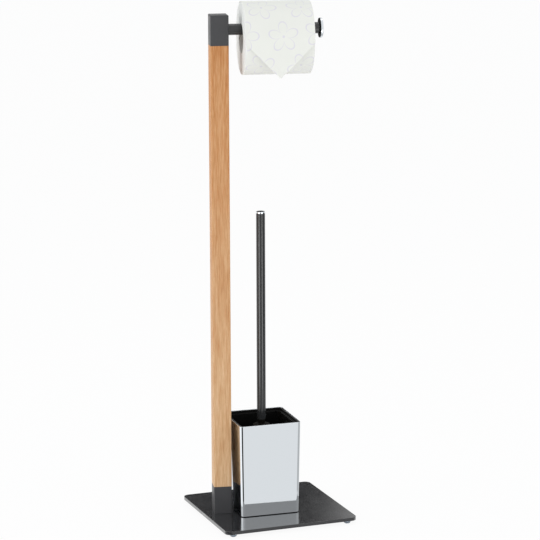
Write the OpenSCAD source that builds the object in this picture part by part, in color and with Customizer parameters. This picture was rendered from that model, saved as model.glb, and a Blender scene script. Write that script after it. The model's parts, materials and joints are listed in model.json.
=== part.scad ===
// Free-standing toilet roll and brush stand.
// A square post stands on a flat base plate and carries a round arm with a toilet roll.
// A tapered square pot beside the post holds a removable liner and the brush.
// The origin is on the floor under the middle of the base plate, +X runs along the plate's
// front edge to the right, -Y points at the viewer and +Z is up. All sizes are in millimetres.

/* [Base plate] */
// Width of the base plate, left to right
plate_w = 201; // [190:1:260]
// Depth of the base plate, front to back
plate_d = 195; // [180:1:260]
// Thickness of the base plate
plate_t = 5; // [2:0.5:8]
// Corner radius of the base plate
plate_r = 9; // [4:1:20]
// Height of the feet under the base plate
foot_h = 5; // [2.5:0.5:6]
// Diameter of each foot
foot_d = 10; // [8:1:16]
// Distance from the plate's left and right edges to each foot's centre
foot_inset_side = 13; // [10:1:30]
// Distance from the plate's front and back edges to each foot's centre
foot_inset_front = 9; // [7:1:30]

/* [Post] */
// Width of the square post
post_w = 26; // [22:1:40]
// Radius of the post's long edges
post_r = 1.5; // [0.5:0.5:4]
// Distance from the plate's left edge to the post's centre
post_inset = 28; // [22:0.5:40]
// How far the post stands behind the middle of the plate
post_back = 1.5; // [-20:0.5:20]
// Turn of the post and its arm, seen from above, left free by the single bolt under it
post_turn = -12; // [-20:1:0]
// Height of the coated sleeve at the foot of the post
socket_h = 40.5; // [30:0.5:60]
// Length of bare wood between the two sleeves
wood_h = 640.5; // [400:0.5:800]
// Height of the coated cap at the head of the post
head_h = 43; // [32:0.5:60]
// Radius of the cap's upper edges
head_edge = 1.8; // [0.5:0.1:2.5]
// Wall of the sleeve and of the cap
sleeve_wall = 2; // [1.5:0.5:3]

/* [Roll arm] */
// Diameter of the arm
arm_d = 16; // [12:1:22]
// Wall of the arm's tube
arm_wall = 1.2; // [1:0.1:2]
// Height of the arm's axis above the underside of the cap
arm_rise = 21.5; // [15:0.5:26]
// Diameter of the coated flange on the arm's end
flange_d = 27.6; // [22:0.1:39]
// Thickness of the flange
flange_t = 1; // [0.8:0.1:2]
// Diameter of the disc that covers the flange
disc_d = 28.4; // [24:0.1:40]
// Thickness of the disc
disc_t = 3.4; // [2.5:0.1:6]

/* [Toilet roll] */
// Width of the roll, along the arm
roll_w = 97; // [80:1:120]
// Diameter of the roll
roll_d = 103; // [80:1:130]
// Inner diameter of the card core
core_bore = 42; // [36:1:50]
// Wall of the card core
core_wall = 0.8; // [0.6:0.1:1.5]
// Gap between the post's cap and the roll
roll_gap_post = 19; // [5:0.5:30]
// Gap between the roll and the arm's end flange
roll_gap_disc = 14; // [5:0.5:30]
// Thickness of the loose sheet, air between its plies included
tail_t = 0.5; // [0.4:0.1:1]
// Height of the straight part of the loose sheet, from the roll's axis down to the folded point
tail_drop = 3.5; // [2:0.5:30]

/* [Brush pot] */
// Width of the pot across its rim
pot_top_w = 92; // [86:1:110]
// Depth of the pot across its rim
pot_top_d = 92; // [86:1:110]
// Width of the pot across its floor
pot_bottom_w = 87.5; // [82:0.5:106]
// Depth of the pot across its floor
pot_bottom_d = 87.5; // [82:0.5:106]
// Height of the pot
pot_h = 135; // [120:0.5:170]
// Corner radius of the pot
pot_r = 5.6; // [3:0.1:8]
// Wall of the pot
pot_wall = 1; // [0.8:0.1:1.5]
// Gap between the post's edge and the pot's side
pot_gap = 0.9; // [0.5:0.1:20]
// How far the pot stands behind the middle of the plate
pot_back = 1.1; // [-20:0.1:20]
// Turn of the pot, seen from above, left free by the single screw under it
pot_turn = -3; // [-20:1:0]
// Thickness of the pad between the plate and the pot
pad_t = 1; // [1:0.5:3]

/* [Liner] */
// Wall of the liner
liner_wall = 1.8; // [1.2:0.1:2.5]
// Width of the liner's upper lip
lip_w = 2; // [1.5:0.1:3]
// Width of the step inside the lip
ledge_w = 2.4; // [2:0.1:4]
// Depth of the step below the top of the lip
lip_h = 4; // [3:0.5:8]
// Gap all round between the liner's lip and the pot
liner_gap = 0.4; // [0.3:0.1:1]

/* [Brush] */
// Whole length of the brush
brush_len = 429; // [360:0.5:480]
// Diameter of the handle's tube
handle_d = 13; // [10:0.1:16]
// Wall of the handle's tube
handle_wall = 1; // [0.8:0.1:1.5]
// Height of the cap on the handle's end
cap_h = 2.5; // [2.5:0.5:8]
// Depth of the brush head's collar below the pot's rim, at its middle
head_drop = 7.5; // [5:0.5:15]
// Diameter of the brush head's collar
collar_d = 25; // [20:1:40]
// Diameter of the brush head's core between the bristles
core_d = 16; // [12:1:20]
// Clear space between the bristle tips and the liner's wall
bristle_gap = 2.8; // [1:0.1:8]
// Number of rows of bristles
bristle_rows = 20; // [18:1:22]
// Number of bristles in a row
bristle_cols = 20; // [18:1:22]

/* [Hidden] */
$fn = 96;
// Steps round each corner of the tapered pot and liner
corner_steps = 8;
// Every cut runs this far past the face that it opens
overrun = 0.5;

coat = "#3e3e41";
black = "#161616";
oak = "#d3a574";
chrome = "#c9cdd1";
zinc = "#a9adb0";
brass = "#b59a55";
paper = "#eeeeec";
card = "#8b857c";

// A foot's lower edge is rounded over this share of its height
foot_round_share = 0.5;

// Clearance all round between a wooden tenon and its sleeve
tenon_fit = 0.1;
// Clearance all round between a thread and the thread that it turns in
thread_fit = 0.05;
// Clearance all round where a bolt passes through sheet metal
bolt_clear = 0.3;
// Room left under a bolt head, above the floor
floor_gap = 1;

// The bolt that holds the post and the stud that holds the arm
bolt_d = 6;
bolt_head_d = 13;
bolt_key = 4;
insert_d = 10;
insert_len = 15;
stud_engage = 11;
// Bottom of a threaded hole past the end of what it holds
thread_end = 1;

// The plugs pressed into the arm's tube, and the spigot of its disc
root_plug_len = 14;
end_plug_len = 12;
disc_spigot_d = 5;
disc_spigot_len = 9;
// Radius of the disc's outer edge
disc_edge = 1.4;

// The screw, washer and nut that hold the pot
screw_d = 5;
screw_head_d = 10;
screw_key = 3;
washer_d = 15;
washer_t = 1;
nut_af = 8;
nut_t = 4;
// Screw end that shows above the nut
screw_end = 1;
// Room between the screw's end and the liner's floor
screw_room = 1;
// How far the pad stays inside the pot's edge
pad_inset = 2;
// Bevel on both edges of the pot's rim
rim_edge = 0.3;

// How far the liner's lip stays below the pot's rim
lip_drop = 0.4;

// Where the brush stands from the middle of the pot
brush_right = 0;
brush_front = 0.4;
// Neck between the collar and the handle's tube
neck_d = 11;
neck_h = 5.1;
dome_h = 3;
collar_t = 3;
// Bare core between the collar and the first row of bristles
core_bare = 9;
// Radius of the flat end that the brush stands on
core_tip_r = 4;
// Rows of bristles over which the core's end is rounded
tip_rows = 3;
handle_plug_len = 18;
cap_spigot_len = 9;
// Radius of the handle cap's upper edge
cap_edge = 0.8;
// Radius of a bristle's three-sided section
strand_r = 0.65;
// A bristle's tip is this share of its root
strand_tip_share = 0.75;
// Neighbouring rows are set this share of a cell to either side
strand_stagger_share = 0.16;
// The end rows are this share shorter than the longest
head_round_share = 0.3;
// The upper rows fan upwards by this share of their distance above the middle row
head_fan_share = 0.06;

// Clearance between the roll's core and the arm that it hangs on
roll_rest_gap = 0.3;
// Clearance between the loose sheet and the roll
tail_gap = 0.3;
// The loose sheet is modelled from this angle on the roll's back, over the top, to its front
tail_from = 70;

// Heights and places worked out from the sizes above
plate_top = foot_h + plate_t;
head_low = socket_h + wood_h;
arm_z = head_low + arm_rise;
tenon_w = post_w - 2 * sleeve_wall - 2 * tenon_fit;
screw_head_h = foot_h - floor_gap;
post_x = post_inset - plate_w / 2;
post_y = post_back;
// Reach of the turned post towards the pot, and how far behind its centre that edge is
post_reach = (post_w / 2 - post_r) * (cos(post_turn) - sin(post_turn)) + post_r;
post_edge_back = (post_w / 2 - post_r) * (cos(post_turn) + sin(post_turn));
pot_y = pot_back;
pot_x = post_x + post_reach + pot_gap + pot_top_w / 2 / cos(pot_turn)
    + (post_y + post_edge_back - pot_y) * tan(pot_turn);
arm_len = roll_gap_post + roll_w + roll_gap_disc;
arm_end = post_w / 2 + arm_len;
arm_bore = arm_d - 2 * arm_wall;
roll_x = post_w / 2 + roll_gap_post + roll_w / 2;
roll_z = arm_z - core_bore / 2 + arm_d / 2 + roll_rest_gap;
tail_r = roll_d / 2 + tail_gap;
screw_len = plate_t + pad_t + pot_wall + washer_t + nut_t + screw_end;
liner_floor = screw_len - plate_t - pad_t + screw_room;
liner_top = pot_h - lip_drop;
lip_in = pot_wall + liner_gap;
cavity_in = lip_in + lip_w + ledge_w;
brush_z = pad_t + liner_floor + liner_wall;
dome_z = pad_t + pot_h - head_drop - brush_z;
collar_z = dome_z - dome_h - collar_t;
tube_z = dome_z + neck_h;
slice_h = collar_z - core_bare;
// Nearest liner wall to the brush's axis, at the liner's floor
cavity_half = min(pot_w_at(liner_floor), pot_d_at(liner_floor)) / 2 - cavity_in;
bristle_r = cavity_half - norm([brush_right, brush_front]) - bristle_gap;

function pot_w_at(z) = pot_bottom_w + (pot_top_w - pot_bottom_w) * z / pot_h;
function pot_d_at(z) = pot_bottom_d + (pot_top_d - pot_bottom_d) * z / pot_h;

// Frames that carry the pieces: +X of the post's frame runs along the arm.
module at_post() {
    translate([post_x, post_y, plate_top]) rotate([0, 0, post_turn]) children();
}

module at_pot() {
    translate([pot_x, pot_y, plate_top]) rotate([0, 0, pot_turn]) children();
}

module at_brush() {
    translate([pot_x + brush_right, pot_y - brush_front, plate_top + brush_z]) children();
}

// Turns +Z to the arm's direction, at a distance along the arm from the post's centre.
module along_arm(x) {
    translate([x, 0, arm_z]) rotate([0, 90, 0]) children();
}

module along_roll(x) {
    translate([x, 0, roll_z]) rotate([0, 90, 0]) children();
}

// Shapes that several pieces share
module rounded_rect(w, d, r) {
    for (x = [-1, 1], y = [-1, 1]) {
        translate([x * (w / 2 - r), y * (d / 2 - r)]) circle(r);
    }
    square([w - 2 * r, d], center = true);
    square([w, d - 2 * r], center = true);
}

module square_bar(w, r, h) {
    linear_extrude(height = h) rounded_rect(w, w, r);
}

// Side of a bar with both upper corners rounded, pushed through the bar's whole width
module round_topped_side(w, h, edge) {
    rotate([90, 0, 0]) linear_extrude(height = w, center = true) {
        translate([-w / 2, 0]) square([w, h - edge]);
        translate([edge - w / 2, 0]) square([w - 2 * edge, h]);
        for (x = [-1, 1]) translate([x * (w / 2 - edge), h - edge]) circle(edge);
    }
}

// Ring of points with the pot's own taper, at a height and a distance inside the pot's outside
function pot_ring(z, inset) = let (
    w = pot_w_at(z) / 2 - inset,
    d = pot_d_at(z) / 2 - inset,
    r = max(pot_r - inset, pot_r / 2))
    [for (c = [[1, 1, 0], [-1, 1, 90], [-1, -1, 180], [1, -1, 270]], j = [0 : corner_steps])
        let (a = c[2] + 90 * j / corner_steps)
        [c[0] * (w - r) + r * cos(a), c[1] * (d - r) + r * sin(a), z]];

// Closed skin over a list of rings, each given as [height, inset], with a flat cap at both ends
module pot_skin(levels) {
    count = 4 * (corner_steps + 1);
    last = (len(levels) - 1) * count;
    polyhedron(
        points = [for (l = levels) each pot_ring(l[0], l[1])],
        faces = concat(
            [[for (k = [0 : count - 1]) k]],
            [for (i = [0 : len(levels) - 2], k = [0 : count - 1]) let (
                a = i * count + k,
                b = i * count + (k + 1) % count)
                each [[a, a + count, b + count], [a, b + count, b]]],
            [[for (k = [count - 1 : -1 : 0]) last + k]]),
        convexity = 6);
}

module tube(outer, bore, h) {
    difference() {
        cylinder(d = outer, h = h);
        translate([0, 0, -overrun]) cylinder(d = bore, h = h + 2 * overrun);
    }
}

// Round cap standing on zero, with a rounded upper edge
module rounded_cap(d, h, edge) {
    rotate_extrude() {
        square([d / 2, h - edge]);
        square([d / 2 - edge, h]);
        translate([d / 2 - edge, h - edge]) intersection() {
            circle(edge);
            square(edge);
        }
    }
}

// Blind threaded plug: a bar with a hole from its lower end.
module plug(outer, bore, h, deep) {
    difference() {
        cylinder(d = outer, h = h);
        translate([0, 0, -overrun]) cylinder(d = bore, h = deep + overrun);
    }
}

// Bolt with a low round head below zero, a hexagon key hole and a plain shank.
module low_bolt(shank_d, head_d, head_h, key, length) {
    difference() {
        union() {
            translate([0, 0, -head_h]) cylinder(d = head_d, h = head_h);
            translate([0, 0, -head_h / 2]) cylinder(d = shank_d, h = length + head_h / 2);
        }
        translate([0, 0, -head_h - overrun])
            cylinder(d = key / cos(30), h = head_h / 2 + overrun, $fn = 6);
    }
}

// Pieces of the base
module base_plate() {
    color(coat) difference() {
        translate([0, 0, foot_h])
            linear_extrude(height = plate_t) rounded_rect(plate_w, plate_d, plate_r);
        at_post() translate([0, 0, -plate_t - overrun])
            cylinder(d = bolt_d + 2 * bolt_clear, h = plate_t + 2 * overrun);
        at_pot() translate([0, 0, -plate_t - overrun])
            cylinder(d = screw_d + 2 * bolt_clear, h = plate_t + 2 * overrun);
    }
}

module feet() {
    color("#b9c2cc") for (x = [-1, 1], y = [-1, 1]) {
        translate([x * (plate_w / 2 - foot_inset_side), y * (plate_d / 2 - foot_inset_front), foot_h])
            mirror([0, 0, 1]) rounded_cap(foot_d, foot_h, foot_h * foot_round_share);
    }
}

// Pieces of the post
module post_bolt() {
    color(zinc) at_post() translate([0, 0, -plate_t])
        low_bolt(bolt_d, bolt_head_d, screw_head_h, bolt_key,
            plate_t + sleeve_wall + insert_len - thread_end);
}

module lower_insert() {
    color(brass) at_post() translate([0, 0, sleeve_wall])
        tube(insert_d, bolt_d + 2 * thread_fit, insert_len);
}

module post_socket() {
    color(coat) at_post() difference() {
        square_bar(post_w, post_r, socket_h);
        translate([0, 0, sleeve_wall])
            square_bar(post_w - 2 * sleeve_wall, post_r / 2, socket_h);
        translate([0, 0, -overrun])
            cylinder(d = bolt_d + 2 * bolt_clear, h = sleeve_wall + 2 * overrun);
    }
}

module wood_post() {
    color(oak) at_post() difference() {
        union() {
            translate([0, 0, socket_h]) square_bar(post_w, post_r, wood_h);
            translate([0, 0, sleeve_wall])
                square_bar(tenon_w, post_r / 2, head_low + head_h - 2 * sleeve_wall);
        }
        translate([0, 0, sleeve_wall - overrun])
            cylinder(d = insert_d, h = insert_len + overrun);
        along_arm(tenon_w / 2 - insert_len) cylinder(d = insert_d, h = post_w);
    }
}

module post_head() {
    color(coat) at_post() difference() {
        translate([0, 0, head_low]) intersection() {
            square_bar(post_w, post_r, head_h);
            round_topped_side(post_w, head_h, head_edge);
            rotate([0, 0, 90]) round_topped_side(post_w, head_h, head_edge);
        }
        translate([0, 0, head_low - overrun])
            square_bar(post_w - 2 * sleeve_wall, post_r / 2, head_h - sleeve_wall + overrun);
        along_arm(tenon_w / 2) cylinder(d = bolt_d + 2 * bolt_clear, h = post_w);
    }
}

// Pieces of the arm
module arm_insert() {
    color(brass) at_post() along_arm(tenon_w / 2 - insert_len)
        tube(insert_d, bolt_d + 2 * thread_fit, insert_len);
}

module arm_stud() {
    start = tenon_w / 2 - insert_len + thread_end;
    color(zinc) at_post() along_arm(start)
        cylinder(d = bolt_d, h = post_w / 2 + stud_engage - start);
}

module arm_root_plug() {
    color(zinc) at_post() along_arm(post_w / 2)
        plug(arm_bore, bolt_d + 2 * thread_fit, root_plug_len, stud_engage + thread_end);
}

module arm_tube() {
    color(coat) at_post() along_arm(post_w / 2) tube(arm_d, arm_bore, arm_len);
}

module arm_end_plug() {
    color(zinc) at_post() along_arm(arm_end) mirror([0, 0, 1])
        plug(arm_bore, disc_spigot_d + 2 * thread_fit, end_plug_len, disc_spigot_len + thread_end);
}

module arm_flange() {
    color(coat) at_post() along_arm(arm_end)
        tube(flange_d, disc_spigot_d + 2 * bolt_clear, flange_t);
}

module arm_end_disc() {
    color(chrome) at_post() along_arm(arm_end + flange_t) {
        rounded_cap(disc_d, disc_t, disc_edge);
        translate([0, 0, -disc_spigot_len])
            cylinder(d = disc_spigot_d, h = disc_spigot_len + disc_t / 2);
    }
}

// Pieces of the pot
module holder_pad() {
    color(black) at_pot() difference() {
        linear_extrude(height = pad_t)
            rounded_rect(pot_bottom_w - 2 * pad_inset, pot_bottom_d - 2 * pad_inset, pot_r);
        translate([0, 0, -overrun])
            cylinder(d = screw_d + 2 * bolt_clear, h = pad_t + 2 * overrun);
    }
}

module holder_screw() {
    color(zinc) at_pot() translate([0, 0, -plate_t])
        low_bolt(screw_d, screw_head_d, screw_head_h, screw_key, screw_len);
}

module holder_washer() {
    color(zinc) at_pot() translate([0, 0, pad_t + pot_wall])
        tube(washer_d, screw_d + 2 * bolt_clear, washer_t);
}

module holder_nut() {
    color(zinc) at_pot() translate([0, 0, pad_t + pot_wall + washer_t]) difference() {
        cylinder(d = nut_af / cos(30), h = nut_t, $fn = 6);
        translate([0, 0, -overrun])
            cylinder(d = screw_d + 2 * thread_fit, h = nut_t + 2 * overrun);
    }
}

module holder_shell() {
    color(chrome) at_pot() translate([0, 0, pad_t]) difference() {
        pot_skin([
            [0, 0],
            [pot_h - rim_edge, 0],
            [pot_h, rim_edge],
            [pot_h, pot_wall - rim_edge],
            [pot_h - rim_edge, pot_wall],
            [pot_wall, pot_wall]]);
        translate([0, 0, -overrun])
            cylinder(d = screw_d + 2 * bolt_clear, h = pot_wall + 2 * overrun);
    }
}

// The liner stands on its skirt, clear of the nut, and steps out to the pot at its lip.
module holder_liner() {
    ledge_top = liner_top - lip_h;
    color(black) at_pot() translate([0, 0, pad_t]) pot_skin([
        [liner_floor, cavity_in],
        [pot_wall, cavity_in],
        [pot_wall, cavity_in - liner_wall],
        [ledge_top - liner_wall, cavity_in - liner_wall],
        [ledge_top - liner_wall, lip_in],
        [liner_top, lip_in],
        [liner_top, lip_in + lip_w],
        [ledge_top, lip_in + lip_w],
        [ledge_top, cavity_in],
        [liner_floor + liner_wall, cavity_in]]);
}

// Pieces of the brush
module handle_cap() {
    color(chrome) at_brush() translate([0, 0, brush_len - cap_h]) {
        rounded_cap(handle_d, cap_h, cap_edge);
        translate([0, 0, -cap_spigot_len])
            cylinder(d = handle_d - 2 * handle_wall, h = cap_spigot_len + cap_h / 2);
    }
}

module handle_tube() {
    color(coat) at_brush() translate([0, 0, tube_z])
        tube(handle_d, handle_d - 2 * handle_wall, brush_len - cap_h - tube_z);
}

module handle_plug() {
    color(zinc) at_brush() translate([0, 0, tube_z])
        plug(handle_d - 2 * handle_wall, bolt_d + 2 * thread_fit, handle_plug_len,
            stud_engage + thread_end);
}

module brush_stud() {
    color(zinc) at_brush() translate([0, 0, tube_z - stud_engage])
        cylinder(d = bolt_d, h = 2 * stud_engage);
}

// Moulded neck, domed collar and bare core, with a blind hole for the stud
module brush_head() {
    dome_r = (pow(collar_d / 2, 2) + pow(dome_h, 2)) / (2 * dome_h);
    color(black) at_brush() difference() {
        union() {
            translate([0, 0, slice_h]) cylinder(d = core_d, h = collar_z - slice_h + collar_t);
            translate([0, 0, collar_z]) cylinder(d = collar_d, h = collar_t);
            intersection() {
                translate([0, 0, dome_z - dome_r]) sphere(dome_r);
                translate([0, 0, collar_z + collar_t / 2])
                    cylinder(d = collar_d, h = dome_h + collar_t);
            }
            translate([0, 0, collar_z]) cylinder(d = neck_d, h = tube_z - collar_z);
        }
        translate([0, 0, tube_z - stud_engage - thread_end])
            cylinder(d = bolt_d + 2 * thread_fit, h = stud_engage + thread_end + overrun);
    }
}

// The core's lower slice as rings of points, with a three-sided bristle in every cell
function ring_r(i) = core_tip_r + (core_d / 2 - core_tip_r) * sin(90 * min(1, i / tip_rows));
function ring_point(i, k) = let (a = 360 * k / bristle_cols)
    [ring_r(i) * cos(a), ring_r(i) * sin(a), slice_h * i / bristle_rows];
function unit(v) = v / norm(v);
// Distance of a row from the middle row, from -1 at the lowest to 1 at the highest
function row_place(i) = (2 * i + 1) / bristle_rows - 1;
function tip_reach(i) = bristle_r * (1 - head_round_share * pow(abs(row_place(i)), 3));
function tip_height(i) = slice_h * ((i + 0.5) / bristle_rows + head_fan_share * max(0, row_place(i)));
// The three root corners and the three tip corners of one bristle
function strand(i, k) = let (
    a = 360 * (k + 0.5) / bristle_cols,
    mid = (ring_point(i, k) + ring_point(i, k + 1) + ring_point(i + 1, k) + ring_point(i + 1, k + 1)) / 4,
    across = [-sin(a), cos(a), 0],
    up = unit(ring_point(i + 1, k) + ring_point(i + 1, k + 1) - ring_point(i, k) - ring_point(i, k + 1)),
    side = (i % 2 == 0 ? 1 : -1) * strand_stagger_share * norm(ring_point(i, k) - ring_point(i, k + 1)),
    root = mid + side * across,
    tip = tip_reach(i) * [cos(a), sin(a), 0] + side * across + [0, 0, tip_height(i)])
    concat([for (t = [90, 210, 330]) root + strand_r * (cos(t) * across + sin(t) * up)],
        [for (t = [90, 210, 330]) tip + strand_tip_share * strand_r * (cos(t) * across + sin(t) * up)]);

module brush_bristles() {
    cols = bristle_cols;
    rows = bristle_rows;
    ring_count = (rows + 1) * cols;
    points = concat(
        [for (i = [0 : rows], k = [0 : cols - 1]) ring_point(i, k)],
        [for (i = [0 : rows - 1], k = [0 : cols - 1]) each strand(i, k)]);
    faces = concat(
        [for (i = [0 : rows - 1], k = [0 : cols - 1]) let (
            a = i * cols + k,
            b = i * cols + (k + 1) % cols,
            c = b + cols,
            d = a + cols,
            s = ring_count + 6 * (i * cols + k))
            each [
                [a, s + 2, b], [a, s + 1, s + 2], [b, s, c], [b, s + 2, s],
                [d, s + 1, a], [d, s, s + 1], [c, s, d],
                [s, s + 4, s + 1], [s, s + 3, s + 4],
                [s + 1, s + 5, s + 2], [s + 1, s + 4, s + 5],
                [s + 2, s + 3, s], [s + 2, s + 5, s + 3],
                [s + 3, s + 5, s + 4]]],
        [for (k = [1 : cols - 2]) [0, k, k + 1]],
        [for (k = [1 : cols - 2]) [rows * cols, rows * cols + k + 1, rows * cols + k]]);
    color(black) at_brush() polyhedron(points = points, faces = faces, convexity = 10);
}

// Pieces of the roll
module roll_core() {
    color(card) at_post() along_roll(roll_x - roll_w / 2)
        tube(core_bore + 2 * core_wall, core_bore, roll_w);
}

module roll_paper() {
    color(paper) at_post() along_roll(roll_x - roll_w / 2)
        tube(roll_d, core_bore + 2 * core_wall, roll_w);
}

// The loose sheet lies over the roll's top, hangs from its front and ends in a folded point:
// both corners are turned in behind the sheet at 45 degrees, so the point is two sheets thick.
module roll_tail() {
    half = roll_w / 2;
    color(paper) at_post() {
        along_roll(roll_x - half) rotate([0, 0, -90]) mirror([0, 1, 0])
            rotate_extrude(angle = 180 - tail_from)
                translate([tail_r, 0]) square([tail_t, roll_w]);
        translate([roll_x, -tail_r, roll_z]) rotate([90, 0, 0]) {
            linear_extrude(height = tail_t) polygon([[-half, 0], [-half, -tail_drop],
                [0, -tail_drop - half], [half, -tail_drop], [half, 0]]);
            translate([0, 0, -tail_t]) linear_extrude(height = tail_t)
                polygon([[-half, -tail_drop], [0, -tail_drop - half], [half, -tail_drop]]);
        }
    }
}

base_plate();
feet();
post_bolt();
lower_insert();
post_socket();
wood_post();
post_head();
arm_insert();
arm_stud();
arm_root_plug();
arm_tube();
arm_end_plug();
arm_flange();
arm_end_disc();
holder_pad();
holder_screw();
holder_washer();
holder_nut();
holder_shell();
holder_liner();
handle_cap();
handle_tube();
handle_plug();
brush_stud();
brush_head();
brush_bristles();
roll_core();
roll_paper();
roll_tail();
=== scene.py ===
"""Looks of a free-standing toilet roll and brush stand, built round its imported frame. Metres."""
import json
import math

import bpy
import numpy as np
from mathutils import Matrix, Vector, noise


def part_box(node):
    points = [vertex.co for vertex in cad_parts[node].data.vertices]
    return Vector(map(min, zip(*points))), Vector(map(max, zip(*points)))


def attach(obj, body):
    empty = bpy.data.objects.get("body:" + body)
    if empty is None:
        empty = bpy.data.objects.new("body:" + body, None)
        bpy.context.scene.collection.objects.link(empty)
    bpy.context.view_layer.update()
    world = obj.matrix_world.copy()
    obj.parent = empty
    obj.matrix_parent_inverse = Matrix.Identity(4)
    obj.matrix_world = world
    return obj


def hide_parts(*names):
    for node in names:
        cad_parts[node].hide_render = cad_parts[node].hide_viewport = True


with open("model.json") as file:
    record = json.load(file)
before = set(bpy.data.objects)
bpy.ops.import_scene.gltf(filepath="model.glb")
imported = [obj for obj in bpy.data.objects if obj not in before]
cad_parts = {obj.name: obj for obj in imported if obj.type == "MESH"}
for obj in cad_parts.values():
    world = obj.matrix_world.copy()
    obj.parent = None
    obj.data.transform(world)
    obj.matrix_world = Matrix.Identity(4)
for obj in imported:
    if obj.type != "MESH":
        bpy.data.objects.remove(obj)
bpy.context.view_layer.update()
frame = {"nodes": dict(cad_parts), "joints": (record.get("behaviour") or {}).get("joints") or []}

NODES = frame["nodes"]
SLOTS = {name: node.material_slots[0].material.name for name, node in NODES.items()}
MM = 0.001


# Camera, from the photograph's viewing angle
LENS = 169.02
SENSOR = 36
CAMERA_PLACE = Vector((-1.25799, -3.33890, 1.11007))
CAMERA_AZIMUTH = math.radians(20.69)
CAMERA_PITCH = math.radians(11.82)
CAMERA_ROLL = math.radians(0.20)


def make_camera():
    level = Matrix.Rotation(-CAMERA_AZIMUTH, 4, "Z") @ Matrix.Rotation(math.pi / 2 - CAMERA_PITCH, 4, "X")
    data = bpy.data.cameras.new("camera")
    data.lens = LENS
    data.sensor_width = SENSOR
    camera = bpy.data.objects.new("camera", data)
    camera.matrix_world = Matrix.Translation(CAMERA_PLACE) @ level @ Matrix.Rotation(-CAMERA_ROLL, 4, "Z")
    bpy.context.scene.collection.objects.link(camera)
    bpy.context.scene.camera = camera


# Range that most of a noise's values lie in
NOISE_LOW = 0.3
NOISE_HIGH = 0.7


# Shader nodes in short form
class Number:
    """A number that shader nodes work out. Arithmetic on it adds Math nodes."""

    def __init__(self, shader, socket):
        self.shader = shader
        self.socket = socket

    def math(self, operation, *others):
        made = self.shader.node("Math", operation=operation)
        for socket, value in zip(made.inputs, (self, *others)):
            self.shader.feed(value, socket)
        return Number(self.shader, made.outputs[0])

    def __add__(self, other):
        return self.math("ADD", other)

    def __sub__(self, other):
        return self.math("SUBTRACT", other)

    def __mul__(self, other):
        return self.math("MULTIPLY", other)

    def __truediv__(self, other):
        return self.math("DIVIDE", other)

    def __pow__(self, other):
        return self.math("POWER", other)

    def between(self, low, high, start=0.0, end=1.0):
        """Runs smoothly from start to end as the number goes from low to high."""
        made = self.shader.node("MapRange", interpolation_type="SMOOTHSTEP")
        for key, value in (("Value", self), ("From Min", low), ("From Max", high),
                           ("To Min", start), ("To Max", end)):
            self.shader.feed(value, made.inputs[key])
        return Number(self.shader, made.outputs["Result"])

    def spread(self, start, end):
        """Runs smoothly from start to end over the usual range of a noise."""
        return self.between(NOISE_LOW, NOISE_HIGH, start, end)


class Shader:
    """A Principled material. Sockets that are the same all over are set on the shader itself."""

    def __init__(self, name, sockets):
        self.material = bpy.data.materials.new(name)
        self.material.use_nodes = True
        self.tree = self.material.node_tree
        self.surface = self.tree.nodes["Principled BSDF"]
        for key, value in sockets.items():
            self.surface.inputs[key].default_value = value
        self.place = self.node("TexCoord").outputs["Object"]

    def node(self, kind, **settings):
        made = self.tree.nodes.new("ShaderNode" + kind)
        for key, value in settings.items():
            setattr(made, key, value)
        return made

    def feed(self, value, socket):
        if isinstance(value, Number):
            value = value.socket
        if isinstance(value, bpy.types.NodeSocket):
            self.tree.links.new(value, socket)
        else:
            socket.default_value = value

    def stretched(self, scale, place=None):
        """Object coordinates, or another vector, multiplied by one factor for each axis."""
        made = self.node("VectorMath", operation="MULTIPLY")
        self.feed(place or self.place, made.inputs[0])
        self.feed(scale, made.inputs[1])
        return made.outputs[0]

    def in_frame(self, matrix):
        """Object coordinates seen from another frame."""
        made = self.node("Mapping", vector_type="TEXTURE")
        self.feed(self.place, made.inputs["Vector"])
        self.feed(matrix.to_translation(), made.inputs["Location"])
        self.feed(matrix.to_euler(), made.inputs["Rotation"])
        return made.outputs["Vector"]

    def axes(self, place=None):
        made = self.node("SeparateXYZ")
        self.feed(place or self.place, made.inputs[0])
        return [Number(self, socket) for socket in made.outputs]

    def noise(self, place, scale=1.0, detail=3.0, rough=0.5):
        made = self.node("TexNoise")
        values = {"Vector": place, "Scale": scale, "Detail": detail, "Roughness": rough}
        for key, value in values.items():
            self.feed(value, made.inputs[key])
        return Number(self, made.outputs["Fac"])

    def mix(self, factor, first, second):
        made = self.node("Mix", data_type="RGBA")
        for place, value in ((0, factor), (6, first), (7, second)):
            self.feed(value, made.inputs[place])
        return made.outputs[2]

    def ramp(self, factor, stops):
        """Colour for a number from 0 to 1, from (position, colour) stops."""
        made = self.node("ValToRGB")
        self.feed(factor, made.inputs[0])
        points = made.color_ramp.elements
        while len(points) < len(stops):
            points.new(0.5)
        for point, (position, colour) in zip(points, stops):
            point.position = position
            point.color = colour
        return made.outputs["Color"]

    def bump(self, height, depth, strength=1.0):
        """Bump from a height of 0 to 1, where 1 is that many metres."""
        made = self.node("Bump")
        for key, value in (("Height", height), ("Distance", depth), ("Strength", strength)):
            self.feed(value, made.inputs[key])
        self.set("Normal", made.outputs["Normal"])

    def set(self, key, value):
        self.feed(value, self.surface.inputs[key])


def colour(red, green, blue):
    """Linear colour for a shader from an sRGB one of 0 to 255."""
    def linear(value):
        share = value / 255
        return share / 12.92 if share <= 0.04045 else ((share + 0.055) / 1.055) ** 2.4
    return (linear(red), linear(green), linear(blue), 1.0)


def shades(tone, share):
    """The darker and the lighter shade of a tone, by a share of it to each side."""
    return [colour(*[value * (1 + side * share) for value in tone]) for side in (-1, 1)]


# Frames of the turned pieces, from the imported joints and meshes
UP = Vector((0, 0, 1))


def joint(name):
    return next(j for j in frame["joints"] if j["name"] == name)


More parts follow.
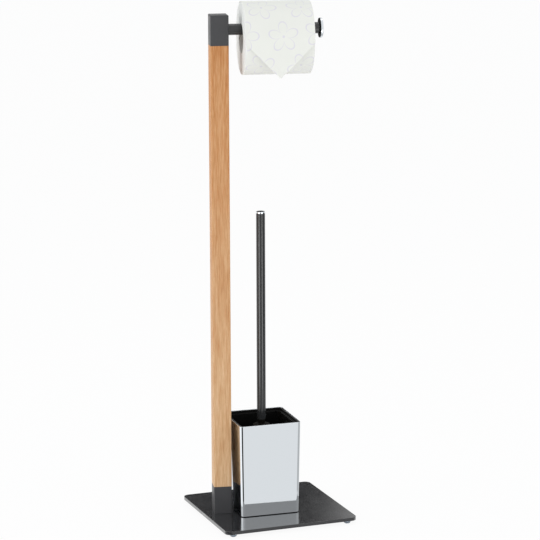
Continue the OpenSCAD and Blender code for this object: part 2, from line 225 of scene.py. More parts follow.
def upright_frame(place, along):
    """Frame at a place with +X along a level direction and +Z up."""
    across = UP.cross(along)
    turn = Matrix((along, across, UP)).transposed().to_4x4()
    return Matrix.Translation(place) @ turn


def middle(node):
    low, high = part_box(node)
    return (low + high) / 2


def points_in(node, matrix):
    """A node's vertices as seen from a frame."""
    back = matrix.inverted()
    return np.array([back @ v.co for v in NODES[node].data.vertices])


ROLL_AXIS = Vector(joint("roll_spin")["axis"]).normalized()
ROLL_FRAME = upright_frame(Vector(joint("roll_spin")["pos_m"]), ROLL_AXIS)
POST_FRAME = upright_frame(middle("wood_post"), ROLL_AXIS)
BRUSH_FRAME = Matrix.Translation(Vector((*middle("handle_tube").xy, 0)))


# Materials
def coat(name, tone, roughness, lacquer=0.0, level=0.5):
    """Satin powder coat with a faint orange peel; faces to the front and the back get no lacquer, as
    painted shade for the shaded floor they mirror.
    """
    shader = Shader(name, {"Coat Roughness": 0.12, "Specular IOR Level": level})
    if lacquer:
        # No lacquer on faces to the front and the back: painted shade, darkening the floor those faces
        # mirror
        right, _, up = shader.axes(shader.node("NewGeometry").outputs["Normal"])
        lacquer_off_for_shade = right.math("ABSOLUTE").math("MAXIMUM", up).between(0.15, 0.5, 0.0, lacquer)
        shader.set("Coat Weight", lacquer_off_for_shade)
    cloud = shader.noise(shader.place, 45.0, 4.0, 0.6)
    peel = shader.noise(shader.place, 1400.0, 2.0, 0.5)
    shader.set("Base Color", shader.mix(cloud, *shades(tone, 0.06)))
    shader.set("Roughness", cloud.spread(roughness * 0.85, roughness * 1.15))
    shader.bump(peel, 0.02 * MM, 0.35)
    return shader.material


# Oak: places on the grain's tone, their colours at the top and, paler with painted light, at the foot;
# warm streaks and pores
OAK_STOPS = (0.38, 0.46, 0.54, 0.66)
OAK_ORANGE = ((170, 103, 51), (186, 124, 70), (198, 142, 91), (213, 165, 119))
OAK_PALE_LIT = ((189, 143, 97), (204, 161, 117), (214, 176, 134), (227, 195, 157))
OAK_WARM = (196, 118, 62)
OAK_PORE = (168, 112, 66)


def oak():
    """Light oak with its grain along the post: broad bands, streaks, fine fibre and short pores."""
    shader = Shader("oak", {"Roughness": 0.52, "Specular IOR Level": 0.25})
    place = shader.in_frame(POST_FRAME)
    height = shader.axes(place)[2]
    band = shader.noise(shader.stretched((110, 110, 9), place), 1.0, 3.0, 0.55)
    streak = shader.noise(shader.stretched((480, 480, 24), place), 1.0, 4.0, 0.62)
    fibre = shader.noise(shader.stretched((1300, 1300, 52), place), 1.0, 3.0, 0.6)
    pore = shader.noise(shader.stretched((2600, 2600, 130), place), 1.0, 2.0, 0.5)
    warm = shader.noise(shader.stretched((700, 700, 38), place), 1.0, 2.0, 0.5).between(0.56, 0.72)
    tone = band * 0.22 + streak * 0.46 + fibre * 0.38
    orange = shader.ramp(tone, [(stop, colour(*shade)) for stop, shade in zip(OAK_STOPS, OAK_ORANGE)])
    pale_lit = shader.ramp(tone, [(stop, colour(*shade)) for stop, shade in zip(OAK_STOPS, OAK_PALE_LIT)])
    # Orange towards the top, paler towards the foot: painted light that lifts the foot where the holder
    # shades the post
    base = shader.mix(height.between(-0.40, 0.30, 1.0, 0.0), orange, pale_lit)
    base = shader.mix(warm * height.between(-0.3, 0.3, 0.25, 0.6), base, colour(*OAK_WARM))
    holes = pore.between(0.60, 0.72)
    shader.set("Base Color", shader.mix(holes * 0.4, base, colour(*OAK_PORE)))
    shader.set("Roughness", streak.spread(0.46, 0.6))
    shader.bump(fibre * 0.6 - holes * 0.5, 0.06 * MM, 0.6)
    return shader.material


def chrome():
    """Polished chrome with a trace of haze and slow waves."""
    shader = Shader("chrome", {"Metallic": 1.0, "Base Color": colour(217, 222, 226)})
    haze = shader.noise(shader.place, 60.0, 5.0, 0.65)
    shader.set("Roughness", haze.between(0.35, 0.75, 0.025, 0.07))
    shader.bump(shader.noise(shader.place, 28.0, 1.0, 0.4), 0.01 * MM)
    return shader.material


def plated(name, dull, bright):
    """Plated steel or brass turned on a lathe, with fine marks and small stains."""
    shader = Shader(name, {"Metallic": 1.0})
    stain = shader.noise(shader.place, 320.0, 5.0, 0.7)
    marks = shader.noise(shader.stretched((300, 300, 5200)), 1.0, 2.0, 0.5)
    shader.set("Base Color", shader.mix(stain, dull, bright))
    shader.set("Roughness", stain.spread(0.28, 0.46))
    shader.bump(marks, 0.02 * MM, 0.5)
    return shader.material


def plastic(name, tone, roughness, level, grain=2300.0):
    """Moulded plastic or rubber with a fine spark-eroded grain."""
    shader = Shader(name, {"Specular IOR Level": level})
    cloud = shader.noise(shader.place, 130.0, 3.0, 0.6)
    fine = shader.noise(shader.place, grain, 2.0, 0.5)
    shader.set("Base Color", shader.mix(cloud, *shades(tone, 0.1)))
    shader.set("Roughness", cloud.spread(roughness * 0.88, roughness * 1.1))
    shader.bump(fine, 0.025 * MM, 0.5)
    return shader.material


def foot_rubber():
    """Clear bluish silicone bumper."""
    shader = Shader("foot_rubber", {
        "Transmission Weight": 0.45, "IOR": 1.42, "Subsurface Weight": 0.25,
        "Subsurface Radius": (0.6 * MM, 0.7 * MM, 0.8 * MM)})
    cloud = shader.noise(shader.place, 400.0, 3.0, 0.6)
    shader.set("Base Color", shader.mix(cloud, colour(158, 172, 186), colour(188, 199, 210)))
    shader.set("Roughness", cloud.spread(0.18, 0.32))
    shader.bump(shader.noise(shader.place, 1900.0, 2.0, 0.5), 0.02 * MM, 0.4)
    return shader.material


def bristle():
    shader = Shader("bristle", {"Specular IOR Level": 0.4})
    shade = shader.noise(shader.place, 420.0, 2.0, 0.5)
    shader.set("Base Color", shader.mix(shade, colour(26, 26, 27), colour(46, 46, 47)))
    shader.set("Roughness", shade.spread(0.36, 0.52))
    shader.bump(shader.noise(shader.place, 3000.0, 1.0, 0.5), 0.02 * MM, 0.3)
    return shader.material


# Width of the card's strip, and the share of a turn that its seam and its soft edge take
CARD_STRIP = 62 * MM
CARD_SEAM = (0.004, 0.016)


def card():
    """Grey-brown card wound on the slant, with a dark butt seam and loose fibres."""
    shader = Shader("card", {"Specular IOR Level": 0.2})
    place = shader.in_frame(ROLL_FRAME)
    x, y, z = shader.axes(place)
    round_core = y.math("ARCTAN2", z) / (2 * math.pi)
    wind = (x / CARD_STRIP + round_core).math("FRACT")
    seam = (wind - 0.5).math("ABSOLUTE").between(*CARD_SEAM, 1.0, 0.0)
    fibre = shader.noise(shader.stretched((260, 900, 900), place), 1.0, 5.0, 0.7)
    base = shader.mix(fibre, colour(220, 217, 209), colour(238, 236, 230))
    shader.set("Base Color", shader.mix(seam * 0.7, base, colour(150, 144, 132)))
    shader.set("Roughness", fibre.spread(0.8, 0.95))
    shader.bump(fibre * 0.5 - seam, 0.08 * MM, 0.6)
    return shader.material


# Print on the paper: pitch in metres, petals and drift in millimetres, start in whole pitches
PRINT_PITCH_U = 56 * MM
PRINT_PITCH_V = 48 * MM
PRINT_DRIFT = 9
PRINT_START = 20
PETALS = 5
PETAL_TIP = 21
PETAL_NOTCH = 6
PAPER = colour(238, 238, 232)
PAPER_SHADE = colour(231, 232, 225)
PRINT = colour(216, 211, 226)


def blossom(shader, along, around):
    """Strength of a printed outline flower: petals and a centre dot, each flower turned its own way."""
    row = (around / PRINT_PITCH_V).math("FLOOR")
    shift = row.math("MODULO", 2.0).math("ABSOLUTE") * 0.5
    across = along / PRINT_PITCH_U + shift
    cell = shader.node("CombineXYZ")
    shader.feed(across.math("FLOOR"), cell.inputs[0])
    shader.feed(row, cell.inputs[1])
    dice = shader.node("TexWhiteNoise", noise_dimensions="2D")
    shader.feed(cell.outputs[0], dice.inputs["Vector"])
    drift_x, drift_y, turn = shader.axes(dice.outputs["Color"])
    x = (across.math("FRACT") - 0.5) * (PRINT_PITCH_U / MM)
    x = x + (drift_x - 0.5) * PRINT_DRIFT
    y = ((around / PRINT_PITCH_V).math("FRACT") - 0.5) * (PRINT_PITCH_V / MM)
    y = y + (drift_y - 0.5) * PRINT_DRIFT
    reach = (x * x + y * y).math("SQRT")
    angle = y.math("ARCTAN2", x) + turn * (2 * math.pi)
    lobe = (angle * (PETALS / 2)).math("COSINE").math("ABSOLUTE") ** 0.8
    edge = lobe * (PETAL_TIP - PETAL_NOTCH) + PETAL_NOTCH
    outline = (reach - edge).math("ABSOLUTE").between(0.5, 1.3, 1.0, 0.0)
    dot = reach.between(1.3, 2.3, 1.0, 0.0)
    return outline.math("MAXIMUM", dot)


def tissue(name, hanging=False):
    """Soft printed paper with fibres and small embossed dots, seen in the roll's own frame."""
    shader = Shader(name, {"Roughness": 0.92, "Specular IOR Level": 0.12, "Sheen Weight": 0.12})
    x, y, z = shader.axes()
    around = (y * -1.0).math("ARCTAN2", z) * ROLL_RADIUS
    if hanging:
        below = z.math("LESS_THAN", 0.0)
        fall = z * -1.0 + math.pi / 2 * ROLL_RADIUS
        around = below * fall + (below * -1.0 + 1.0) * around
    fibre = shader.noise(shader.place, 900.0, 6.0, 0.7)
    cloud = shader.noise(shader.place, 34.0, 2.0, 0.5)
    base = shader.mix(cloud * 0.5 + fibre * 0.5, PAPER_SHADE, PAPER)
    ink = blossom(shader, x + PRINT_PITCH_U * PRINT_START, around + PRINT_PITCH_V * PRINT_START)
    shader.set("Base Color", shader.mix(ink * fibre.between(0.2, 0.6, 0.6, 1.0) * 0.62, base, PRINT))
    dots_x = (x * (2 * math.pi / DIMPLE_PITCH)).math("SINE")
    dots_y = (around * (2 * math.pi / DIMPLE_PITCH)).math("SINE")
    dimple = (dots_x * dots_y).between(0.25, 0.9)
    shader.bump(fibre * 0.5 + dimple * 0.5, 0.12 * MM, 0.35)
    return shader.material


def tissue_side():
    """Cut ends of the wound paper: fine layer lines, with painted shade in a few of the gaps between
    layers.
    """
    shader = Shader("tissue_side", {"Roughness": 0.95, "Specular IOR Level": 0.1})
    x, y, z = shader.axes()
    reach = (y * y + z * z).math("SQRT")
    turn = y.math("ARCTAN2", z) / (2 * math.pi)
    layer = ((reach / LAYER_PITCH + turn).math("FRACT") - 0.5).math("ABSOLUTE")
    gap_shade = shader.noise(shader.stretched((1, 60, 60)), 1.0, 2.0, 0.5)
    fibre = shader.noise(shader.place, 1300.0, 4.0, 0.7)
    # Darker grey where the wound layers meet: painted shade in the gaps between them
    base = shader.mix(layer.between(0.3, 0.5) * gap_shade, colour(236, 237, 234), colour(204, 206, 202))
    shader.set("Base Color", shader.mix(fibre * 0.35, base, colour(222, 224, 221)))
    shader.bump(layer * -1.0 + fibre * 0.4, 0.15 * MM, 0.4)
    return shader.material


# Distance between embossed dots, and between drawn layers on the roll's ends
DIMPLE_PITCH = 3.4 * MM
LAYER_PITCH = 0.42 * MM
ROLL_POINTS = points_in("roll_paper", ROLL_FRAME)
ROLL_RADIUS = float(np.hypot(ROLL_POINTS[:, 1], ROLL_POINTS[:, 2]).max())
ROLL_BORE = float(np.hypot(ROLL_POINTS[:, 1], ROLL_POINTS[:, 2]).min())
ROLL_HALF = float(ROLL_POINTS[:, 0].max() - ROLL_POINTS[:, 0].min()) / 2


def record_materials():
    """One material for each slot of the record."""
    zinc = plated("zinc", colour(148, 150, 148), colour(190, 193, 194))
    brass = plated("brass", colour(150, 122, 62), colour(198, 168, 98))
    return {
        "plate_coat": coat("plate_coat", (48, 48, 50), 0.14, 1.0),
        "post_coat": coat("post_coat", (59, 59, 61), 0.4, level=0.4),
        "arm_coat": coat("arm_coat", (50, 51, 52), 0.24),
        "handle_tube": coat("handle_tube", (46, 47, 48), 0.14),
        "arm_flange": coat("arm_flange", (20, 20, 21), 0.7, level=0.15),
        "oak": oak(),
        "chrome": chrome(),
        "zinc": zinc,
        "brass": brass,
        "foot_rubber": foot_rubber(),
        "pad_rubber": plastic("pad_rubber", (30, 30, 31), 0.8, 0.2),
        "liner_plastic": plastic("liner_plastic", (9, 9, 9), 0.42, 0.2),
        "brush_plastic": plastic("brush_plastic", (25, 23, 20), 0.45, 0.015),
        "card": card(),
    }


# Edges of the frame's own nodes
def smooth_group():
    """Modifier that shades smoothly across every edge flatter than a limit."""
    group = bpy.data.node_groups.new("smooth_by_angle", "GeometryNodeTree")
    for way in ("INPUT", "OUTPUT"):
        group.interface.new_socket("Geometry", in_out=way, socket_type="NodeSocketGeometry")
    start = group.nodes.new("NodeGroupInput")
    end = group.nodes.new("NodeGroupOutput")
    faces = group.nodes.new("GeometryNodeSetShadeSmooth")
    edges = group.nodes.new("GeometryNodeSetShadeSmooth")
    edges.domain = "EDGE"
    angle = group.nodes.new("GeometryNodeInputMeshEdgeAngle")
    flat = group.nodes.new("FunctionNodeCompare")
    flat.operation = "LESS_EQUAL"
    flat.inputs[1].default_value = SHARP_ANGLE
    group.links.new(start.outputs[0], faces.inputs["Geometry"])
    group.links.new(faces.outputs[0], edges.inputs["Geometry"])
    group.links.new(angle.outputs["Unsigned Angle"], flat.inputs[0])
    group.links.new(flat.outputs["Result"], edges.inputs["Shade Smooth"])
    group.links.new(edges.outputs[0], end.inputs[0])
    return group


SHARP_ANGLE = math.radians(38)
BEVEL_ANGLE = math.radians(28)
COPLANAR = 0.002
WELD = 1e-6
SMOOTH = smooth_group()


def smooth(piece):
    piece.modifiers.new("smooth", "NODES").node_group = SMOOTH
    weighted = piece.modifiers.new("weighted", "WEIGHTED_NORMAL")
    weighted.keep_sharp = True


def round_edges(piece, width, segments=3):
    """Rounds a node's sharp edges without touching its own vertices."""
    piece.modifiers.new("weld", "WELD").merge_threshold = WELD
    flat = piece.modifiers.new("flat", "DECIMATE")
    flat.decimate_type = "DISSOLVE"
    flat.angle_limit = COPLANAR
    bevel = piece.modifiers.new("bevel", "BEVEL")
    bevel.width = width
    bevel.segments = segments
    bevel.angle_limit = BEVEL_ANGLE
    smooth(piece)


EDGES = {
    "base_plate": 0.7 * MM, "feet": 0.2 * MM, "post_socket": 0.35 * MM, "wood_post": 0.15 * MM,
    "post_head": 0.35 * MM, "arm_tube": 0.25 * MM, "arm_flange": 0.2 * MM, "arm_end_disc": 0.15 * MM,
    "holder_pad": 0.2 * MM, "holder_shell": 0.12 * MM, "holder_liner": 0.3 * MM,
    "handle_cap": 0.15 * MM, "handle_tube": 0.2 * MM, "brush_head": 0.3 * MM, "roll_core": 0.12 * MM,
    "post_bolt": 0.3 * MM, "holder_screw": 0.25 * MM, "holder_washer": 0.15 * MM, "holder_nut": 0.25 * MM,
    "lower_insert": 0.2 * MM, "arm_insert": 0.2 * MM, "arm_stud": 0.4 * MM, "brush_stud": 0.4 * MM,
    "arm_root_plug": 0.3 * MM, "arm_end_plug": 0.3 * MM, "handle_plug": 0.3 * MM,
}


def dress_nodes(materials):
    for name, width in EDGES.items():
        node = NODES[name]
        for holder in node.material_slots:
            holder.material = materials.get(name) or materials[SLOTS[name]]
        round_edges(node, width)


# Pieces that replace the soft nodes
def make_piece(name, points, faces, matrix=Matrix.Identity(4)):
    mesh = bpy.data.meshes.new(name)
    mesh.from_pydata([tuple(p) for p in points], [], faces)
    mesh.validate()
    piece = bpy.data.objects.new(name, mesh)
    piece.matrix_world = matrix
    bpy.context.scene.collection.objects.link(piece)
    return piece


def ring_faces(rings, steps, closed):
    """Quads between rings of points, and from the last ring to the first if closed."""
    last = rings if closed else rings - 1
    return [(a * steps + k, a * steps + (k + 1) % steps,
             (a + 1) % rings * steps + (k + 1) % steps, (a + 1) % rings * steps + k)
            for a in range(last) for k in range(steps)]


ROLL_STEPS = 192
ROLL_EDGE = 1.3 * MM
ROLL_EDGE_STEPS = 6
ROLL_LENGTH_STEPS = 28
RELIEF_PITCH = 0.8 * MM
RELIEF_RINGS = 4
RELIEF_DEPTH = 0.14 * MM
SIDE_SWELL = 0.25 * MM
SIDE_PITCH = 5 * MM
SURFACE_SWELL = 0.22 * MM
SURFACE_PITCH = 30 * MM
SURFACE_WAVES = 1.6
END_SHARE = 0.4


def roll_profile():
    """Closed outline of the wound paper in its (axis, radius) half plane, starting at the left bore."""
    count = int((ROLL_RADIUS - ROLL_EDGE - ROLL_BORE) / RELIEF_PITCH * RELIEF_RINGS)
    radii = np.linspace(ROLL_BORE, ROLL_RADIUS - ROLL_EDGE, count)
    inside = ROLL_HALF - ROLL_EDGE
    left = [(-ROLL_HALF, r) for r in radii]
    turn = [math.pi / 2 * k / ROLL_EDGE_STEPS for k in range(1, ROLL_EDGE_STEPS)]
    shoulder = ROLL_RADIUS - ROLL_EDGE
    corner = [(inside + ROLL_EDGE * math.cos(a), shoulder + ROLL_EDGE * math.sin(a)) for a in turn]
    outer = [(x, ROLL_RADIUS) for x in np.linspace(-inside, inside, ROLL_LENGTH_STEPS)]
    right = [(ROLL_HALF, r) for r in reversed(radii)]
    bore = [(x, ROLL_BORE) for x in np.linspace(inside, -inside, 4)]
    return left + [(-x, r) for x, r in corner] + outer + list(reversed(corner)) + right + bore


def roll_point(x, r, a):
    """A point of the roll with the relief of its wound layers and a slightly uneven outside."""
    side = min(1.0, max(0.0, (ROLL_RADIUS - r) / ROLL_EDGE)) if abs(x) >= ROLL_HALF - WELD else 0.0
    layer = abs((r / RELIEF_PITCH - a / (2 * math.pi)) % 1.0 - 0.5) * 2
    drift = noise.noise(Vector((r / SIDE_PITCH, math.copysign(3.0, x), 0.0)))
    inward = side * (RELIEF_DEPTH * layer ** 2 + SIDE_SWELL * (0.5 + 0.5 * drift))
    place = Vector((x / SURFACE_PITCH, SURFACE_WAVES * math.cos(a), SURFACE_WAVES * math.sin(a)))
    wave = noise.noise(place)
    sunk = SURFACE_SWELL * (0.5 + 0.5 * wave) if r > ROLL_RADIUS - ROLL_EDGE else 0.0
    x -= math.copysign(inward, x)
    r -= sunk
    return (x, r * math.sin(a), r * math.cos(a))


def wound_paper():
    profile = roll_profile()
    turns = [2 * math.pi * k / ROLL_STEPS for k in range(ROLL_STEPS)]
    points = [roll_point(x, r, turn) for x, r in profile for turn in turns]
    piece = make_piece("roll_wound", points, ring_faces(len(profile), ROLL_STEPS, True), ROLL_FRAME)
    piece.data.materials.append(tissue("tissue_printed"))
    piece.data.materials.append(tissue_side())
    for face in piece.data.polygons:
        face.material_index = 1 if abs(face.center.x) > ROLL_HALF - ROLL_EDGE * END_SHARE else 0
        face.use_smooth = True
    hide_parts("roll_paper")
    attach(piece, "roll")


# Loose sheet: it leaves the roll at its back, comes over the top and hangs to a folded point
TAIL_POINTS = points_in("roll_tail", ROLL_FRAME)
SHEET_THICK = 0.22 * MM
SHEET_FRONT = float(-TAIL_POINTS[:, 1].min()) - SHEET_THICK
SHEET_TIP = float(-TAIL_POINTS[:, 2].min())
SHEET_ARC = math.radians(110)
SHEET_CELLS = 36
FLAP_GAP = 0.3 * MM
FLAP_SPREAD = 0.02
FOLD_ROUND = 2.5 * MM
CURL = 1.2 * MM
PUCKER = 0.25 * MM
PUCKER_WIDTH = 26 * MM
PUCKER_LENGTH = 34 * MM
PUCKER_START = 20 * MM
SHEET_LIFT_ARC = math.radians(60)


def sheet_point(u, v, fold):
    """Place of a point of the flat sheet, with v measured down from the height of the roll's axis."""
    behind = 0.0
    if fold > 0:
        u, v = math.copysign(SHEET_TIP - v, u), SHEET_TIP - abs(u)
        share = min(1.0, fold / FOLD_ROUND)
        behind = (FLAP_GAP + FLAP_SPREAD * max(0.0, v)) * math.sqrt(share * (2 - share))
    pucker = PUCKER * (0.5 + 0.5 * noise.noise(Vector((u / PUCKER_WIDTH, v / PUCKER_LENGTH, 7.0))))
    if v >= 0:
        lean = CURL * (v / SHEET_TIP) ** 2
        return (u, -SHEET_FRONT - pucker * min(1.0, v / PUCKER_START) + lean + behind, -v)
    turn = -v / SHEET_FRONT
    rise = min(1.0, (SHEET_ARC - turn) / SHEET_LIFT_ARC)
    reach = ROLL_RADIUS + SHEET_THICK / 2 + (SHEET_FRONT - ROLL_RADIUS - SHEET_THICK / 2) * rise
    return (u, -reach * math.cos(turn), reach * math.sin(turn))


def loose_sheet():
    cell = ROLL_HALF / SHEET_CELLS
    flat_length = SHEET_TIP + SHEET_ARC * SHEET_FRONT
    rows = math.ceil(flat_length / cell)
    columns = 2 * SHEET_CELLS
    points = []
    for row in range(rows + 1):
        for column in range(columns + 1):
            u = (column - SHEET_CELLS) * cell
            v = max(SHEET_TIP - (rows - row) * cell, SHEET_TIP - flat_length)
            points.append(sheet_point(u, v, (abs(u) + v - SHEET_TIP) / math.sqrt(2)))
    faces = []
    for row in range(rows):
        for column in range(columns):
            a = row * (columns + 1) + column
            b, c, d = a + 1, a + columns + 2, a + columns + 1
            if column < SHEET_CELLS:
                faces += [(a, b, c), (a, c, d)]
            else:
                faces += [(a, b, d), (b, c, d)]
    piece = make_piece("roll_loose_sheet", points, faces, ROLL_FRAME)
    thick = piece.modifiers.new("thick", "SOLIDIFY")
    thick.thickness = SHEET_THICK
    thick.offset = 0
    smooth(piece)
    piece.data.materials.append(tissue("tissue_sheet", hanging=True))
    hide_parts("roll_tail")
    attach(piece, "roll")


# Bristles: a tuft in each place of the frame's rows, and the core that they stand in
BRISTLE_LOW, BRISTLE_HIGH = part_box("brush_bristles")
BRISTLE_REACH = (BRISTLE_HIGH.x - BRISTLE_LOW.x) / 2
HEAD_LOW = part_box("brush_head")[0]
BRISTLE_SEED = 5
TUFT_ROWS = 16
TUFT_COLUMNS = 16
TUFT_FILAMENTS = 14
TUFT_RADIUS = 1.1 * MM
TUFT_SPREAD = 2.6 * MM
FILAMENT_RADIUS = 0.17 * MM
FILAMENT_TAPER = 0.35
FILAMENT_SHARES = (0.0, 0.45, 0.8, 1.0)
FILAMENT_TURNS = (0, 2 * math.pi / 3, 4 * math.pi / 3)
GOLDEN_ANGLE = 2.39996
ROOT_DEPTH = 0.5 * MM
TIP_INSET = 0.4 * MM
TIP_TAPER = 0.3
TIP_RISE = 0.06
TIP_FLOOR = 0.25 * MM
CORE_RADIUS = 8 * MM
CORE_STEPS = 64
CORE_FOOT = 4 * MM
CORE_ROUND = 15 * MM
CORE_RINGS = 41


def core_radius(z):
    """Radius of the brush's core at a height above its foot."""
    share = min(1.0, z / CORE_ROUND)
    return CORE_FOOT + (CORE_RADIUS - CORE_FOOT) * math.sin(math.pi / 2 * share)


def brush_core():
    low = BRISTLE_LOW.z
    high = HEAD_LOW.z
    heights = [(high - low) * k / (CORE_RINGS - 1) for k in range(CORE_RINGS)]
    points = []
    for z in heights:
        for k in range(CORE_STEPS):
            a = 2 * math.pi * k / CORE_STEPS
            points.append((core_radius(z) * math.cos(a), core_radius(z) * math.sin(a), low + z))
    faces = ring_faces(len(heights), CORE_STEPS, False)
    faces.append(tuple(reversed(range(CORE_STEPS))))
    faces.append(tuple(range(len(points) - CORE_STEPS, len(points))))
    piece = make_piece("brush_core", points, faces, BRUSH_FRAME)
    smooth(piece)
    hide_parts("brush_bristles")
    return piece


def filament(root, tip, droop):
    """Rings of a filament that bends a little on its way out."""
    way = tip - root
    side = way.cross(UP).normalized()
    rise = side.cross(way).normalized()
    rings = []
    for share in FILAMENT_SHARES:
        centre = root + way * share + droop * math.sin(math.pi * share)
        radius = FILAMENT_RADIUS * (1 - FILAMENT_TAPER * share ** 3)
        rings.append([centre + radius * (math.cos(t) * side + math.sin(t) * rise) for t in FILAMENT_TURNS])
    return rings


def filament_faces(first):
    """Faces of a filament whose points start at a number: its two ends and its sides."""
    rings = len(FILAMENT_SHARES)
    sides = len(FILAMENT_TURNS)
    last = sides * (rings - 1)
    faces = [(0, 2, 1), (last, last + 1, last + 2)] + ring_faces(rings, sides, False)
    return [tuple(first + k for k in face) for face in faces]


def bristle_filament(dice, row, column, item):
    """Rings of one filament of a tuft. Its root stands in the core, and its tip fans out."""
    height = HEAD_LOW.z - BRISTLE_LOW.z
    share = (row + 0.5) / TUFT_ROWS
    place = 2 * share - 1
    root_z = height * share
    tip_r = (BRISTLE_REACH - TIP_INSET) * (1 - TIP_TAPER * abs(place) ** 3)
    tip_z = root_z + height * TIP_RISE * max(0.0, place)
    a = 2 * math.pi * (column + (0.5 if row % 2 else 0.0)) / TUFT_COLUMNS
    out = Vector((math.cos(a), math.sin(a), 0))
    across = Vector((-math.sin(a), math.cos(a), 0))
    angle = item * GOLDEN_ANGLE
    spread = math.sqrt((item + 0.5) / TUFT_FILAMENTS)
    foot = spread * TUFT_RADIUS
    fan = spread * TUFT_SPREAD + dice.uniform(-0.4, 0.4) * MM
    low = max(0.0, root_z + foot * math.sin(angle))
    root = out * (core_radius(low) - ROOT_DEPTH) + across * foot * math.cos(angle) + UP * low
    end = max(TIP_FLOOR, tip_z + fan * math.sin(angle))
    tip = out * (tip_r + dice.uniform(-0.9, 0.0) * MM) + across * fan * math.cos(angle) + UP * end
    droop = UP * dice.uniform(-0.3, 0.5) * MM + across * dice.uniform(-0.6, 0.6) * MM
    return filament(root, tip, droop)


def bristles():
    dice = np.random.default_rng(BRISTLE_SEED)
    points, faces = [], []
    for row in range(TUFT_ROWS):
        for column in range(TUFT_COLUMNS):
            for item in range(TUFT_FILAMENTS):
                faces += filament_faces(len(points))
                for ring in bristle_filament(dice, row, column, item):
                    points += [point + UP * BRISTLE_LOW.z for point in ring]
    piece = make_piece("bristle_tufts", points, faces, BRUSH_FRAME)
    for face in piece.data.polygons:
        face.use_smooth = True
    piece.data.materials.append(bristle())
    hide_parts("brush_bristles")
    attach(piece, "brush")


# Studio
def background_share(tree):
    """1 where the camera, a reflection or a refraction looks, 0 for the light on the object."""
    path = tree.nodes.new("ShaderNodeLightPath")
    total = path.outputs["Is Camera Ray"]
    for name in ("Is Glossy Ray", "Is Transmission Ray"):
        both = tree.nodes.new("ShaderNodeMath")
        both.operation = "MAXIMUM"
        tree.links.new(total, both.inputs[0])
        tree.links.new(path.outputs[name], both.inputs[1])
        total = both.outputs[0]
    return total


WORLD_LIGHT = 0.8
WORLD_TINT = (0.96, 0.98, 1.0, 1.0)
WHITE = (1.0, 1.0, 1.0, 1.0)
FLOOR_TONE = (0.88, 0.88, 0.88, 1.0)
FLOOR_HALF = 30.0
FLOOR_WHITE = 0.93


def make_world():
    world = bpy.data.worlds.new("world")
    world.use_nodes = True
    tree = world.node_tree
    tree.nodes.clear()
    light = tree.nodes.new("ShaderNodeBackground")
    light.inputs["Color"].default_value = WORLD_TINT
    light.inputs["Strength"].default_value = WORLD_LIGHT
    white = tree.nodes.new("ShaderNodeBackground")
    white.inputs["Color"].default_value = WHITE
    white.inputs["Strength"].default_value = 1.0
    mixed = tree.nodes.new("ShaderNodeMixShader")
    end = tree.nodes.new("ShaderNodeOutputWorld")
    tree.links.new(background_share(tree), mixed.inputs[0])
    tree.links.new(light.outputs[0], mixed.inputs[1])
    tree.links.new(white.outputs[0], mixed.inputs[2])
    tree.links.new(mixed.outputs[0], end.inputs["Surface"])
    bpy.context.scene.world = world


def make_floor():
    """Pale floor that looks white and keeps a part of the object's shadow."""
    half = FLOOR_HALF
    corners = [(-half, -half, 0), (half, -half, 0), (half, half, 0), (-half, half, 0)]
    floor = make_piece("floor", corners, [(0, 1, 2, 3)])
    material = bpy.data.materials.new("floor")
    material.use_nodes = True
    tree = material.node_tree
    tree.nodes.clear()
    matte = tree.nodes.new("ShaderNodeBsdfDiffuse")
    matte.inputs["Color"].default_value = FLOOR_TONE
    white = tree.nodes.new("ShaderNodeEmission")
    share = tree.nodes.new("ShaderNodeMath")
    share.operation = "MULTIPLY"
    share.inputs[1].default_value = FLOOR_WHITE
    mixed = tree.nodes.new("ShaderNodeMixShader")
    end = tree.nodes.new("ShaderNodeOutputMaterial")
    tree.links.new(background_share(tree), share.inputs[0])
    tree.links.new(share.outputs[0], mixed.inputs[0])
    tree.links.new(matte.outputs[0], mixed.inputs[1])
    tree.links.new(white.outputs[0], mixed.inputs[2])
    tree.links.new(mixed.outputs[0], end.inputs["Surface"])
    floor.data.materials.append(material)


# Cards that only reflections see, as a studio sets them round a shiny object
CARD_STEPS = 16
FLOOR_CARDS = {
    # name: what it lies round, compass angles in degrees, nearest and farthest point, brightness, height
    "left_dark": ("left", 200, 243, 0.06, 0.60, 0.02, 1.0 * MM),
    "left_light": ("left", 245, 326, 0.06, 0.60, 1.3, 1.2 * MM),
    "right_grey": ("right", 60, 150, 0.10, 0.60, 0.6, 1.0 * MM),
    "handle_dark": ("handle", 184, 212, 0.66, 2.60, 0.3, 1.4 * MM),
    "handle_left": ("handle", 224, 270, 0.66, 2.60, 4.2, 1.6 * MM),
    "handle_right": ("handle", 150, 179, 0.66, 2.60, 3.5, 1.8 * MM),
    "handle_edge": ("handle", 90, 142, 0.66, 2.60, 0.1, 1.4 * MM),
}
# Soft shares of a floor card's two sides and its ends
FLOOR_SOFT = (0.08, 0.08, 0.06)
WALL_FAR = 3.0
WALL_CARDS = {
    # name: compass angles in degrees, lowest and highest edge, brightness, soft shares of sides and ends
    "back_dark": (328, 388, 0.5, 1.35, 0.0, (0.1, 0.09, 0.3)),
    "front_grey": (148, 182, 0.25, 1.15, 0.75, (0.2, 0.2, 0.3)),
    "left_bright": (238, 310, 0.4, 1.5, 2.2, (0.08, 0.15, 0.25)),
}


def compass(angle):
    """Level direction at an angle clockwise from +Y, seen from above."""
    return Vector((math.sin(angle), math.cos(angle), 0))


def sector(start, end):
    """Level directions from one compass angle in degrees to another."""
    angles = [start + (end - start) * k / CARD_STEPS for k in range(CARD_STEPS + 1)]
    return [compass(math.radians(angle)) for angle in angles]


def corner(node, angle):
    """A node's point that reaches farthest along a compass angle in degrees."""
    way = compass(math.radians(angle))
    return max((v.co for v in NODES[node].data.vertices), key=way.dot)


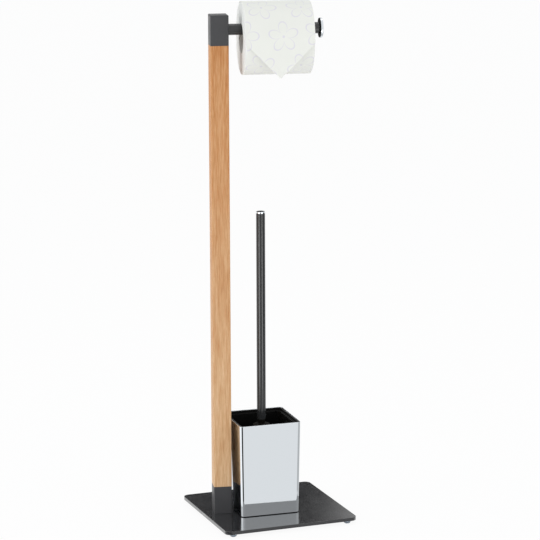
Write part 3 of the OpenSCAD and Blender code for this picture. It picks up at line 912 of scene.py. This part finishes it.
def make_card(name, pairs, level, edge, soft):
    """Strip of glowing card between pairs of points, which fades to the level of what is round it."""
    points = [point for pair in pairs for point in pair]
    steps = len(pairs) - 1
    piece = make_piece(name, points, [(2 * k, 2 * k + 1, 2 * k + 3, 2 * k + 2) for k in range(steps)])
    layer = piece.data.uv_layers.new(name="uv")
    for loop, place in zip(piece.data.loops, layer.data):
        place.uv = (loop.vertex_index // 2 / steps, loop.vertex_index % 2)
    shader = Shader(name, {"Base Color": (0.0, 0.0, 0.0, 1.0), "Specular IOR Level": 0.0})
    across, out, _ = shader.axes(shader.node("UVMap", uv_map="uv").outputs["UV"])
    first, last, ends = soft
    inside = across.between(0.0, first) * across.between(1.0 - last, 1.0, 1.0, 0.0)
    inside = inside * out.between(0.0, ends) * out.between(1.0 - ends, 1.0, 1.0, 0.0)
    shader.set("Emission Color", WHITE)
    shader.set("Emission Strength", inside * (level - edge) + edge)
    piece.data.materials.append(shader.material)
    for kind in ("camera", "diffuse", "transmission", "volume_scatter", "shadow"):
        setattr(piece, "visible_" + kind, False)


def make_cards():
    for name, (start, end, low, high, level, soft) in WALL_CARDS.items():
        pairs = [(way * WALL_FAR + UP * low, way * WALL_FAR + UP * high) for way in sector(start, end)]
        make_card(name, pairs, level, 1.0, soft)
    centres = {"left": corner("holder_shell", 228), "right": corner("holder_shell", 138),
               "handle": middle("handle_tube")}
    for name, (place, start, end, near, far, level, lift) in FLOOR_CARDS.items():
        foot = Vector((*centres[place].xy, lift))
        pairs = [(foot + way * near, foot + way * far) for way in sector(start, end)]
        make_card(name, pairs, level, FLOOR_WHITE, FLOOR_SOFT)


LAMPS = {
    # name: place, looks at, width, height, power, seen in reflections
    "key": ((-0.9, -2.4, 2.2), (0, 0, 0.4), 2.2, 2.2, 2.0, False),
    "fill": ((2.6, -1.6, 1.2), (0, 0, 0.4), 1.8, 2.2, 7.0, False),
    "left": ((-2.8, 0.0, 0.8), (0, 0, 0.4), 1.6, 1.6, 22.0, False),
    "low": ((0.2, -2.6, 0.35), (0, 0, 0.6), 2.4, 0.6, 11.0, False),
    "strip_above": ((0.0, 0.45, 2.3), (0, 0, 0.7), 1.8, 0.35, 4.0, True),
}


def make_lamps():
    for name, (place, target, width, height, power, reflected) in LAMPS.items():
        data = bpy.data.lights.new(name, "AREA")
        data.shape = "RECTANGLE"
        data.size = width
        data.size_y = height
        data.energy = power
        lamp = bpy.data.objects.new(name, data)
        lamp.location = place
        lamp.rotation_euler = (Vector(target) - Vector(place)).to_track_quat("-Z", "Y").to_euler()
        lamp.visible_glossy = reflected
        bpy.context.scene.collection.objects.link(lamp)


def build():
    for material in list(bpy.data.materials):
        bpy.data.materials.remove(material)
    make_camera()
    make_world()
    make_floor()
    make_cards()
    make_lamps()
    bpy.context.scene.view_settings.view_transform = "Standard"
    materials = record_materials()
    dress_nodes(materials)
    wound_paper()
    loose_sheet()
    core = brush_core()
    core.data.materials.append(materials["brush_plastic"])
    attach(core, "brush")
    bristles()


build()
